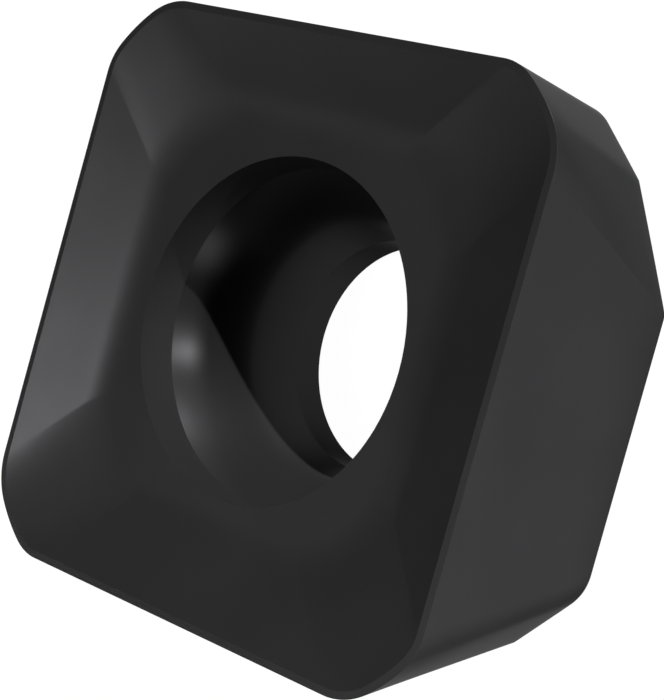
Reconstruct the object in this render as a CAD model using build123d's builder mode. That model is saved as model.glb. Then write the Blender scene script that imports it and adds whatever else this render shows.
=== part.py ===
from build123d import *
from math import cos, radians, sin, tan
import os

# A square carbide milling insert, lying on its back, in millimetres.
# The origin is on the back face, in the middle of the screw hole, and +Z runs up the hole to the
# cutting edges. The four corners are alike under a quarter turn, and each leans one way round, so the
# mirror image is the insert of the other hand.

# Overall size
side = 13.4
thickness = 5.56

# Each cutting corner, seen from above and taken anticlockwise: three arcs that run into each other
# and into the two straight cutting edges. The angles are those of the outward normal.
nose_radius = 1.7
facet_radius = 4.2
heel_radius = 1.3
nose_end_angle = 41
facet_end_angle = 56

# Each back corner is cut away by two relief faces. Their ends are measured from the square's own
# corner: where the first starts on this side, the knee between them (in from this side and back from
# the next), and where the second ends on the next side, in a small round.
relief_start = 4.15
relief_knee_in = 1.62
relief_knee_back = 1.4
relief_end = 3.15
relief_end_radius = 1.0
back_edge_radius = 0.42

# Chip groove on the front face: a flat land, rake faces that fall from it, and a floor that they run
# into over a wide round. The foot of the rake faces is straight beside each cutting edge and bows out
# at each corner, in an arc that leaves the straight at this angle.
land_width = 0.17
floor_depth = 0.52
rake_angle = 15
groove_bow_radius = 3.35
groove_bow_angle = 20
floor_blend_radius = 3.6

# Screw hole, from the groove floor down to the back face. Depths are below the cutting edges.
rim_radius = 3.88
wall_end_radius = 3.81
wall_end_depth = 1.47
screw_seat_radius = 6.9
ring_radius = 2.98
ring_depth = 3.41
bore_radius = 2.75
bore_length = 0.9

half = side / 2
quarter_turns = (0, 90, 180, 270)

os.makedirs("parts", exist_ok=True)


def on_circle(radius, angle):
    """The point of a circle about the origin at this angle from +X."""
    return Vector(radius * cos(radians(angle)), radius * sin(radians(angle)))


def turned(point, angle):
    """The same point, turned about the hole's axis."""
    return Vector(point.X, point.Y).rotate(Axis.Z, angle)


def front_outline(inset):
    """Draw the square with its three-arc corners, every side and arc moved in by the same distance."""
    reach = half - inset
    arcs = [
        (nose_radius - inset, 0, nose_end_angle),
        (facet_radius - inset, nose_end_angle, facet_end_angle),
        (heel_radius - inset, facet_end_angle, 90),
    ]
    rise = sum((on_circle(radius, end) - on_circle(radius, start)).Y for radius, start, end in arcs)
    for turn in quarter_turns:
        here = Vector(reach, reach - rise)
        for radius, start, end in arcs:
            middle = here + on_circle(radius, (start + end) / 2) - on_circle(radius, start)
            there = here + on_circle(radius, end) - on_circle(radius, start)
            ThreePointArc(turned(here, turn), turned(middle, turn), turned(there, turn))
            here = there
        Line(turned(here, turn), turned(Vector(rise - reach, reach), turn))


def back_outline():
    """Draw the square with two relief faces cut off each corner and a small round after them."""
    knee = Vector(half - relief_knee_in, half - relief_knee_back)
    corner = Vector(half - relief_end, half)
    second_face = (corner - knee).normalized()
    next_side = Vector(-1, 0)
    round_length = relief_end_radius * tan(radians(second_face.get_angle(next_side) / 2))
    round_start = corner - second_face * round_length
    round_end = corner + next_side * round_length
    for turn in quarter_turns:
        first_start = turned(Vector(half, half - relief_start), turn)
        Polyline(first_start, turned(knee, turn), turned(round_start, turn))
        TangentArc(turned(round_start, turn), turned(round_end, turn), tangent=turned(second_face, turn))
        Line(turned(round_end, turn), turned(Vector(relief_start - half, half), turn))


def groove_foot_outline():
    """Draw the foot of the rake faces, with one arc for each arc of the cutting corner."""
    foot = half - land_width - floor_depth / tan(radians(rake_angle))
    bow_start = on_circle(groove_bow_radius, groove_bow_angle)
    bow_centre = Vector(foot - bow_start.X, foot - bow_start.X)
    straight_end = bow_centre.Y + bow_start.Y
    angles = (groove_bow_angle, nose_end_angle, facet_end_angle, 90 - groove_bow_angle)
    for turn in quarter_turns:
        for start, end in zip(angles, angles[1:]):
            points = [bow_centre + on_circle(groove_bow_radius, a) for a in (start, (start + end) / 2, end)]
            ThreePointArc(*[turned(point, turn) for point in points])
        Line(turned(Vector(straight_end, foot), turn), turned(Vector(-straight_end, foot), turn))


with BuildPart() as insert:
    # Body: the front outline carried straight back, which gives the four flat flanks
    with BuildSketch(Plane.XY):
        with BuildLine():
            front_outline(0)
        make_face()
    extrude(amount=thickness)

    # Relief: kept only where it lies inside the form that runs from the back outline to the front one,
    # each edge of the one ruled to its own edge of the other
    with BuildSketch(Plane.XY):
        with BuildLine():
            back_outline()
        make_face()
    with BuildSketch(Plane.XY.offset(thickness)):
        with BuildLine():
            front_outline(0)
        make_face()
    loft(ruled=True, mode=Mode.INTERSECT)
    fillet(insert.faces().sort_by(Axis.Z)[0].edges(), back_edge_radius)

    # Chip groove: rake faces fall from the flat land to the groove floor
    with BuildSketch(Plane.XY.offset(thickness - floor_depth)):
        with BuildLine():
            groove_foot_outline()
        make_face()
    with BuildSketch(Plane.XY.offset(thickness)):
        with BuildLine():
            front_outline(land_width)
        make_face()
    loft(ruled=True, mode=Mode.SUBTRACT)
    groove_floor = insert.faces().filter_by(Axis.Z).sort_by(Axis.Z)[-2]
    fillet(groove_floor.edges(), floor_blend_radius)

    # Screw hole: a short wall, the rounded seat for the screw head, and the bore, which opens a
    # little towards the seat
    floor_height = thickness - floor_depth
    ring = (ring_radius, thickness - ring_depth)
    wall_end = (wall_end_radius, thickness - wall_end_depth)
    with BuildSketch(Plane.XZ):
        with BuildLine():
            Polyline((0, floor_height), (0, 0), (bore_radius, 0), (bore_radius, bore_length), ring)
            RadiusArc(ring, wall_end, screw_seat_radius)
            Polyline(wall_end, (rim_radius, floor_height), (0, floor_height))
        make_face()
    revolve(axis=Axis.Z, mode=Mode.SUBTRACT)

insert.part.label = "insert"
export_step(insert.part, "parts/insert.step")
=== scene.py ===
from math import atan2, cos, degrees, pi, radians, sin, sqrt, tan

import bmesh
import bpy
from mathutils import Matrix, Vector


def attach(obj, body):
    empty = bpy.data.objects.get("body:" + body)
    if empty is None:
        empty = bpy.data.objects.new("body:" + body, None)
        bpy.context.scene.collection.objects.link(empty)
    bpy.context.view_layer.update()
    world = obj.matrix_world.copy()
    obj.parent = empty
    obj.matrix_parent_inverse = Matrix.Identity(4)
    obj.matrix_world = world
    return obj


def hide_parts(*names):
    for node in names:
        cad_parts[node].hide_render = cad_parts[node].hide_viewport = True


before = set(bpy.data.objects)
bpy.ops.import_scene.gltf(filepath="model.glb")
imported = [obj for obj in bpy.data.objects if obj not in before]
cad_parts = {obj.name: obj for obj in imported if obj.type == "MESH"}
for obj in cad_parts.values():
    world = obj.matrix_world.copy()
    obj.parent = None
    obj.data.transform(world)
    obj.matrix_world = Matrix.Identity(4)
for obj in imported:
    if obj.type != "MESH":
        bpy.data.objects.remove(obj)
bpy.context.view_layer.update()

# The insert: one block of cemented carbide. It is pressed and sintered with its chip groove and screw
# hole, then ground, and its edges are honed. The piece is drawn as rings that run round the block: up
# its sides from the back, in over the land and down the groove, and back down through the hole.

MM = 0.001
SIDE = 13.4 * MM
THICKNESS = 5.56 * MM
HALF = SIDE / 2

# A cutting corner's three arcs, taken anticlockwise: radius, then the outward normal's first and last
# angle. The relief faces' ends are measured from the square's own corner.
NOSE = (1.7 * MM, 0, 41)
FACET = (4.2 * MM, 41, 56)
HEEL = (1.3 * MM, 56, 90)
RELIEF_START = 4.15 * MM
RELIEF_KNEE = (1.62 * MM, 1.4 * MM)
RELIEF_END = 3.15 * MM
RELIEF_END_RADIUS = 1.0 * MM
BACK_EDGE_RADIUS = 0.42 * MM

LAND_WIDTH = 0.17 * MM
FLOOR_DEPTH = 0.52 * MM
RAKE_ANGLE = 15
BOW_RADIUS = 3.35 * MM
BOW_ANGLE = 20
BLEND_RADIUS = 3.6 * MM

# The hole's profile, each point a radius and a depth below the cutting edges
RIM = (3.88 * MM, FLOOR_DEPTH)
WALL_END = (3.81 * MM, 1.47 * MM)
SCREW_SEAT_RADIUS = 6.9 * MM
SEAT_RING = (2.98 * MM, 3.41 * MM)
BORE_END = (2.75 * MM, 4.66 * MM)
BORE_BACK = (2.75 * MM, THICKNESS)

# How many stations each stretch of the outline has: the straight side, then the corner's three arcs.
# The knee between the two relief faces lies where the corner's first arc ends.
SIDE_STATIONS = 24
CORNER_STATIONS = NOSE_STATIONS, FACET_STATIONS, HEEL_STATIONS = 16, 6, 12
QUARTER_STATIONS = SIDE_STATIONS + sum(CORNER_STATIONS)
STATIONS = 4 * QUARTER_STATIONS
KNEE_STATION = SIDE_STATIONS + NOSE_STATIONS

# How many rings cross each round, the sides, the rake faces, the screw seat and a honed edge
ROUND_RINGS = 8
SIDE_RINGS = 10
RAKE_RINGS = 4
SEAT_RINGS = 12
HONE_RINGS = 3

EDGE_HONE = 0.015 * MM
MERGE_DISTANCE = 0.0001 * MM
# An edge that bends by more than this many degrees is drawn crisp
CREASE_ANGLE = 9.5


def on_circle(radius, angle):
    """The point of a circle about the origin at this angle, in degrees from +X."""
    return Vector((radius * cos(radians(angle)), radius * sin(radians(angle))))


def shares(count, eased=False):
    """Where the stations of a stretch lie along it, from 0 up to 1; eased ones crowd at both ends."""
    even = [i / count for i in range(count)]
    return [(1 - cos(pi * share)) / 2 for share in even] if eased else even


def straight(start, end, count, eased=False):
    """The stations of a straight stretch, without its end."""
    return [start.lerp(end, share) for share in shares(count, eased)]


def arc(centre, radius, start, end, count):
    """The stations of an arc between two angles, without its end."""
    return [centre + on_circle(radius, start + (end - start) * share) for share in shares(count)]


def fan(start, end, first, last, count, eased=False):
    """The ways out across a stretch whose outward normal turns from one angle to another.

    They lean to the side by the first amount and then the last, so that two stretches' ways meet at a bend.
    """
    angles = [start + (end - start) * share for share in shares(count, eased)]
    leans = [first + (last - first) * share for share in shares(count, eased)]
    return [on_circle(1, angle) + on_circle(lean, angle + 90) for angle, lean in zip(angles, leans)]


def all_round(quarter):
    """One quarter's points, repeated under the quarter turns."""
    return [Matrix.Rotation(radians(90 * turn), 2) @ point for turn in range(4) for point in quarter]


def front_outline(inset):
    """The square with its three-arc corners, every side and arc moved in by the same distance."""
    reach = HALF - inset
    arcs = [(radius - inset, start, end) for radius, start, end in (NOSE, FACET, HEEL)]
    rise = sum((on_circle(radius, end) - on_circle(radius, start)).y for radius, start, end in arcs)
    run = sum((on_circle(radius, start) - on_circle(radius, end)).x for radius, start, end in arcs)
    here = Vector((reach, reach - rise))
    points = straight(Vector((reach, run - reach)), here, SIDE_STATIONS, eased=True)
    for (radius, start, end), count in zip(arcs, CORNER_STATIONS):
        centre = here - on_circle(radius, start)
        points += arc(centre, radius, start, end, count)
        here = centre + on_circle(radius, end)
    return all_round(points)


def back_outline():
    """The square with two relief faces cut off each corner and a round after them, and the ways out."""
    start = Vector((HALF, HALF - RELIEF_START))
    knee = Vector((HALF - RELIEF_KNEE[0], HALF - RELIEF_KNEE[1]))
    end = Vector((HALF - RELIEF_END, HALF))
    first_face = degrees(atan2(start.x - knee.x, knee.y - start.y))
    second_face = degrees(atan2(knee.x - end.x, end.y - knee.y))
    round_length = RELIEF_END_RADIUS * tan(radians((90 - second_face) / 2))
    round_start = end - (end - knee).normalized() * round_length
    centre = Vector((end.x - round_length, HALF - RELIEF_END_RADIUS))
    side_start = Vector((HALF, round_length + RELIEF_END - HALF))
    first_bend = tan(radians(first_face / 2))
    knee_bend = tan(radians((second_face - first_face) / 2))
    points = straight(side_start, start, SIDE_STATIONS, eased=True)
    points += straight(start, knee, NOSE_STATIONS) + straight(knee, round_start, FACET_STATIONS)
    points += arc(centre, RELIEF_END_RADIUS, second_face, 90, HEEL_STATIONS)
    ways = fan(0, 0, 0, first_bend, SIDE_STATIONS, eased=True)
    ways += fan(first_face, first_face, -first_bend, knee_bend, NOSE_STATIONS)
    ways += fan(second_face, second_face, -knee_bend, 0, FACET_STATIONS)
    ways += fan(second_face, 90, 0, 0, HEEL_STATIONS)
    return all_round(points), all_round(ways)


def groove_foot():
    """The line that the rake faces run down to, and the ways out across it."""
    foot = HALF - LAND_WIDTH - FLOOR_DEPTH / tan(radians(RAKE_ANGLE))
    bow_start = on_circle(BOW_RADIUS, BOW_ANGLE)
    centre = Vector((foot - bow_start.x, foot - bow_start.x))
    straight_end = Vector((foot, centre.y + bow_start.y))
    bend = tan(radians(BOW_ANGLE / 2))
    points = straight(Vector((foot, -straight_end.y)), straight_end, SIDE_STATIONS, eased=True)
    ways = fan(0, 0, -bend, bend, SIDE_STATIONS, eased=True)
    bow_angles = (BOW_ANGLE, NOSE[2], FACET[2], 90 - BOW_ANGLE)
    for start, end, count in zip(bow_angles, bow_angles[1:], CORNER_STATIONS):
        points += arc(centre, BOW_RADIUS, start, end, count)
        first, last = (bend * (angle - 45) / (45 - BOW_ANGLE) for angle in (start, end))
        ways += fan(start, end, first, last, count)
    return all_round(points), all_round(ways)


def at_height(points, height):
    """Points of an outline, set at this height above the back face."""
    return [Vector((point.x, point.y, height)) for point in points]


def seat_profile(count):
    """The screw seat's arc in the hole's profile, from the wall down, without its two ends."""
    top, ring = Vector((WALL_END[0], -WALL_END[1])), Vector((SEAT_RING[0], -SEAT_RING[1]))
    chord = ring - top
    outward = Vector((-chord.y, chord.x)).normalized()
    centre = (top + ring) / 2 + outward * sqrt(SCREW_SEAT_RADIUS ** 2 - (chord.length / 2) ** 2)
    spread = (top - centre).angle_signed(ring - centre)
    turns = [Matrix.Rotation(-spread * i / count, 2) @ (top - centre) for i in range(1, count)]
    return [((centre + arm).x, -(centre + arm).y) for arm in turns]


# Two rounds follow the outline: the blend between the rake faces and the groove floor, and the back
# edge. Each ring of them lies on the line that a station's face follows, less what the round takes off.
foot, foot_ways = groove_foot()
back, back_ways = back_outline()
front = front_outline(0)
land_end = front_outline(LAND_WIDTH)


def blend_ring(share):
    """The ring this far up the groove's blend, from 0 at the floor to 1 at the rake faces."""
    slope = radians(RAKE_ANGLE)
    rise = BLEND_RADIUS * (1 - cos(slope * share))
    gap = rise / tan(slope) + BLEND_RADIUS * (tan(slope / 2) - sin(slope * share))
    points = []
    for start, end, way in zip(foot, land_end, foot_ways):
        place = start.lerp(end, rise / FLOOR_DEPTH) - way * gap
        points.append(Vector((place.x, place.y, THICKNESS - FLOOR_DEPTH + rise)))
    return points


def back_round_ring(share):
    """The ring this far round the back edge, from 0 on the back face to 1 on the sides."""
    rise = BACK_EDGE_RADIUS * (1 - cos(pi / 2 * share))
    gap = BACK_EDGE_RADIUS * (1 - sin(pi / 2 * share))
    points = []
    for start, end, way in zip(back, front, back_ways):
        place = start.lerp(end, rise / THICKNESS) - way * gap
        points.append(Vector((place.x, place.y, rise)))
    return points


def between(first, last, count):
    """Rings evenly spaced between two rings, without the two."""
    return [[a.lerp(b, i / count) for a, b in zip(first, last)] for i in range(1, count)]


def hole_ring(radius, depth):
    """A ring of the hole, with its stations in line with those of the groove's foot."""
    return at_height([point.normalized() * radius for point in foot], THICKNESS - depth)


cutting_edge = at_height(front, THICKNESS)
land_edge = at_height(land_end, THICKNESS)
bore_edge = hole_ring(*BORE_BACK)
up_the_rounds = [i / ROUND_RINGS for i in range(ROUND_RINGS + 1)]
rings = [hole_ring(*BORE_END), bore_edge] + [back_round_ring(share) for share in up_the_rounds]
rings += between(rings[-1], cutting_edge, SIDE_RINGS) + [cutting_edge, land_edge]
rings += between(land_edge, blend_ring(1), RAKE_RINGS)
rings += [blend_ring(share) for share in reversed(up_the_rounds)]
rings += [hole_ring(*point) for point in (RIM, WALL_END, *seat_profile(SEAT_RINGS), SEAT_RING, BORE_END)]

shell = bmesh.new()
station = shell.verts.layers.int.new("station")
bmesh.ops.create_circle(shell, cap_ends=False, segments=STATIONS, radius=BORE_END[0])
for number, vertex in enumerate(shell.verts):
    vertex[station] = number
    vertex.co = rings[0][number]
last_edges = list(shell.edges)
edges_of = {}
for ring in rings[1:]:
    grown = bmesh.ops.extrude_edge_only(shell, edges=last_edges)["geom"]
    for vertex in (part for part in grown if isinstance(part, bmesh.types.BMVert)):
        vertex.co = ring[vertex[station]]
    last_edges = [part for part in grown if isinstance(part, bmesh.types.BMEdge) and part.is_boundary]
    edges_of[id(ring)] = last_edges
bmesh.ops.remove_doubles(shell, verts=shell.verts, dist=MERGE_DISTANCE)
bmesh.ops.recalc_face_normals(shell, faces=shell.faces)
# The cutting edge and the bore's back edge are honed; the hole's front rim is left as it was pressed
for ring in (bore_edge, cutting_edge):
    bmesh.ops.bevel(
        shell,
        geom=edges_of[id(ring)],
        offset=EDGE_HONE,
        segments=HONE_RINGS,
        profile=0.5,
        affect="EDGES",
        clamp_overlap=False,
        material=-1,
    )
for face in shell.faces:
    face.smooth = True
for edge in shell.edges:
    # The grinder leaves the knee between a corner's two relief faces soft
    on_knee = all(vertex[station] % QUARTER_STATIONS == KNEE_STATION for vertex in edge.verts)
    edge.smooth = on_knee or edge.calc_face_angle(0) < radians(CREASE_ANGLE)
shell.verts.layers.int.remove(station)

block = bpy.data.meshes.new("coated_insert")
shell.to_mesh(block)
shell.free()
insert = bpy.data.objects.new("coated_insert", block)
bpy.context.collection.objects.link(insert)

COATING = "#363637"
COATING_PALE = "#39393a"
COATING_ROUGHNESS = 0.32
ROUGHNESS_SPREAD = 0.008
COATING_METAL = 0.5
# Holds the gloss back at grazing angles, where a bare metal would flare white
EDGE_TINT = 0.36
CLOUD_SIZE = 3.0 * MM
CLOUD_RANGE = (0.35, 0.65)
# Real coating grains and polishing marks are a few micrometres across; both are drawn coarser so that
# they show.
GRAIN_SIZE = 0.05 * MM
GRAIN_HEIGHT = 0.00005 * MM
POLISH_PITCH = 0.06 * MM
POLISH_STRETCH = 12
POLISH_HEIGHT = 0.00004 * MM
POLISH_RANGE = (0.3, 0.7)


def linear(hex_colour):
    """Turn an sRGB hex colour into the linear RGBA that the shader takes."""
    channels = [int(hex_colour[i:i + 2], 16) / 255 for i in (1, 3, 5)]
    return [c / 12.92 if c <= 0.04045 else ((c + 0.055) / 1.055) ** 2.4 for c in channels] + [1.0]


def add_node(tree, kind, settings, links):
    """Add a node to a material, with its settings, its sockets' values and its links."""
    node = tree.nodes.new(kind)
    for name, value in settings.items():
        if hasattr(node, name):
            setattr(node, name, value)
        else:
            node.inputs[name].default_value = value
    for name, source in links.items():
        tree.links.new(source, node.inputs[name])
    return node


def coated_carbide():
    """Cemented carbide under a thin hard coating, laid down from vapour on a polished surface.

    That gives a near-black satin, half like metal, with a fine grain and faint polishing lines.
    """
    material = bpy.data.materials.new("coated_carbide")
    material.use_nodes = True
    tree = material.node_tree
    tree.nodes.clear()
    place = add_node(tree, "ShaderNodeTexCoord", {}, {}).outputs["Object"]

    # Slow drift of tone and sheen, as a coating has that settles unevenly
    clouds = add_node(
        tree,
        "ShaderNodeTexNoise",
        {"Scale": 1 / CLOUD_SIZE, "Detail": 3.0, "Roughness": 0.5},
        {"Vector": place},
    ).outputs["Fac"]
    tone = add_node(tree, "ShaderNodeValToRGB", {}, {"Fac": clouds})
    for stop, position, colour in zip(tone.color_ramp.elements, CLOUD_RANGE, (COATING, COATING_PALE)):
        stop.position = position
        stop.color = linear(colour)

    # Polishing lines of the pressing die: they keep to one height, so they run beside the cutting edge
    # on the rake faces and round the screw seat
    stretched = add_node(
        tree, "ShaderNodeMapping", {"Scale": (1 / POLISH_STRETCH, 1 / POLISH_STRETCH, 1.0)}, {"Vector": place}
    ).outputs["Vector"]
    polish = add_node(
        tree, "ShaderNodeTexNoise", {"Scale": 1 / POLISH_PITCH, "Detail": 2.0}, {"Vector": stretched}
    ).outputs["Fac"]
    sheen = add_node(
        tree,
        "ShaderNodeMapRange",
        {
            "From Min": POLISH_RANGE[0],
            "From Max": POLISH_RANGE[1],
            "To Min": COATING_ROUGHNESS - ROUGHNESS_SPREAD,
            "To Max": COATING_ROUGHNESS + ROUGHNESS_SPREAD,
        },
        {"Value": polish},
    ).outputs["Result"]

    grain = add_node(
        tree, "ShaderNodeTexNoise", {"Scale": 1 / GRAIN_SIZE, "Detail": 2.0}, {"Vector": place}
    ).outputs["Fac"]
    grained = add_node(
        tree, "ShaderNodeBump", {"Strength": 1.0, "Distance": GRAIN_HEIGHT}, {"Height": grain}
    ).outputs["Normal"]
    lined = add_node(
        tree,
        "ShaderNodeBump",
        {"Strength": 1.0, "Distance": POLISH_HEIGHT},
        {"Height": polish, "Normal": grained},
    ).outputs["Normal"]

    shader = add_node(
        tree,
        "ShaderNodeBsdfPrincipled",
        {
            "Metallic": COATING_METAL,
            "IOR": 1.5,
            "Specular IOR Level": 0.0,
            "Specular Tint": (EDGE_TINT, EDGE_TINT, EDGE_TINT, 1.0),
        },
        {"Base Color": tone.outputs["Color"], "Roughness": sheen, "Normal": lined},
    ).outputs["BSDF"]
    add_node(tree, "ShaderNodeOutputMaterial", {}, {"Surface": shader})
    return material


block.materials.append(coated_carbide())
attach(insert, "root")
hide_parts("insert")

# The floor: a plain white studio sheet that the insert lies on. The camera and the coating's gloss see
# it evenly white, and it keeps a faint shadow under the insert.

FLOOR_SIZE = 1.2
FLOOR_WHITE = "#e8e8e8"
# A little above 1, so that the mix of glow and lit paper still comes out white
FLOOR_GLOW = 1.06
GLOW_SHARE = 0.93


def studio_sheet():
    """Matt white paper, lifted to an even white for the camera and for reflections."""
    material = bpy.data.materials.new("studio_sheet")
    material.use_nodes = True
    tree = material.node_tree
    tree.nodes.clear()
    paper = add_node(tree, "ShaderNodeBsdfDiffuse", {"Color": linear(FLOOR_WHITE)}, {}).outputs["BSDF"]
    glow = add_node(tree, "ShaderNodeEmission", {"Strength": FLOOR_GLOW}, {}).outputs["Emission"]
    ray = add_node(tree, "ShaderNodeLightPath", {}, {}).outputs
    seen = add_node(tree, "ShaderNodeMath", {"operation": "MAXIMUM"}, {})
    tree.links.new(ray["Is Camera Ray"], seen.inputs[0])
    tree.links.new(ray["Is Glossy Ray"], seen.inputs[1])
    seen_through = add_node(tree, "ShaderNodeMath", {"operation": "MAXIMUM"}, {})
    tree.links.new(seen.outputs["Value"], seen_through.inputs[0])
    tree.links.new(ray["Is Transmission Ray"], seen_through.inputs[1])
    share = add_node(tree, "ShaderNodeMath", {"operation": "MULTIPLY"}, {})
    share.inputs[1].default_value = GLOW_SHARE
    tree.links.new(seen_through.outputs["Value"], share.inputs[0])
    mix = add_node(tree, "ShaderNodeMixShader", {}, {"Fac": share.outputs["Value"]})
    tree.links.new(paper, mix.inputs[1])
    tree.links.new(glow, mix.inputs[2])
    add_node(tree, "ShaderNodeOutputMaterial", {}, {"Surface": mix.outputs["Shader"]})
    return material


bpy.ops.mesh.primitive_plane_add(size=FLOOR_SIZE, location=(0, 0, 0))
floor = bpy.context.object
floor.name = "floor"
floor.data.materials.append(studio_sheet())

# The light: a low key lamp beyond the insert's far flank, a weaker one on its right, a broad lamp
# overhead, a faint one from the left, a small panel close in front, and a dim even surround.

WORLD_LEVEL = 0.02


def direction(azimuth, elevation):
    """The unit vector at this azimuth from +X and this height above the floor, in degrees."""
    across = cos(radians(elevation))
    return Vector((across * cos(radians(azimuth)), across * sin(radians(azimuth)), sin(radians(elevation))))


def aim(lamp, away):
    """Turn a lamp so that it shines against this direction."""
    lamp.rotation_euler = away.to_track_quat("Z", "Y").to_euler()


def sun(name, azimuth, elevation, strength, width):
    """A distant lamp of this angular width, in degrees."""
    data = bpy.data.lights.new(name, "SUN")
    data.energy = strength
    data.angle = radians(width)
    lamp = bpy.data.objects.new(name, data)
    bpy.context.collection.objects.link(lamp)
    aim(lamp, direction(azimuth, elevation))


def panel(name, azimuth, elevation, distance, size, power):
    """A square soft lamp that faces the middle of the insert."""
    data = bpy.data.lights.new(name, "AREA")
    data.shape = "SQUARE"
    data.size = size
    data.energy = power
    lamp = bpy.data.objects.new(name, data)
    bpy.context.collection.objects.link(lamp)
    away = direction(azimuth, elevation)
    lamp.location = away * distance + Vector((0, 0, THICKNESS / 2))
    lamp.visible_camera = False
    aim(lamp, away)


sun("key", azimuth=71, elevation=25, strength=3.9, width=1)
sun("right", azimuth=27, elevation=12, strength=0.85, width=4)
sun("overhead", azimuth=206, elevation=68, strength=0.67, width=6)
sun("left", azimuth=196, elevation=36, strength=0.09, width=5)
panel("front", azimuth=322, elevation=8, distance=30 * MM, size=10 * MM, power=0.0032)

world = bpy.data.worlds.new("surround")
world.use_nodes = True
surround = world.node_tree.nodes["Background"]
surround.inputs["Strength"].default_value = WORLD_LEVEL
surround.inputs["Color"].default_value = (1, 1, 1, 1)
bpy.context.scene.world = world

# The camera: the photograph's own view, worked out from the square's corners and the hole's rims.

PHOTO_HEIGHT = 700
FOCAL_PIXELS = 2051.7
AXIS_ROW = 341
SENSOR_WIDTH = 36
VIEW_AZIMUTH = 3.745
VIEW_ELEVATION = 49.029
VIEW_ROLL = -77.338
VIEW_DISTANCE = 42.928 * MM
AIM_POINT = Vector((2.354 * MM, 0.239 * MM, THICKNESS))

camera_data = bpy.data.cameras.new("camera")
camera_data.sensor_width = SENSOR_WIDTH
camera_data.lens = FOCAL_PIXELS / PHOTO_HEIGHT * SENSOR_WIDTH
camera_data.shift_y = (AXIS_ROW - PHOTO_HEIGHT / 2) / PHOTO_HEIGHT
camera_data.clip_start = 1 * MM
camera = bpy.data.objects.new("camera", camera_data)
bpy.context.collection.objects.link(camera)
camera.matrix_world = (
    Matrix.Translation(AIM_POINT + VIEW_DISTANCE * direction(VIEW_AZIMUTH, VIEW_ELEVATION))
    @ Matrix.Rotation(radians(VIEW_AZIMUTH + 90), 4, "Z")
    @ Matrix.Rotation(radians(90 - VIEW_ELEVATION), 4, "X")
    @ Matrix.Rotation(radians(VIEW_ROLL), 4, "Z")
)
bpy.context.scene.camera = camera
bpy.context.scene.view_settings.view_transform = "Standard"
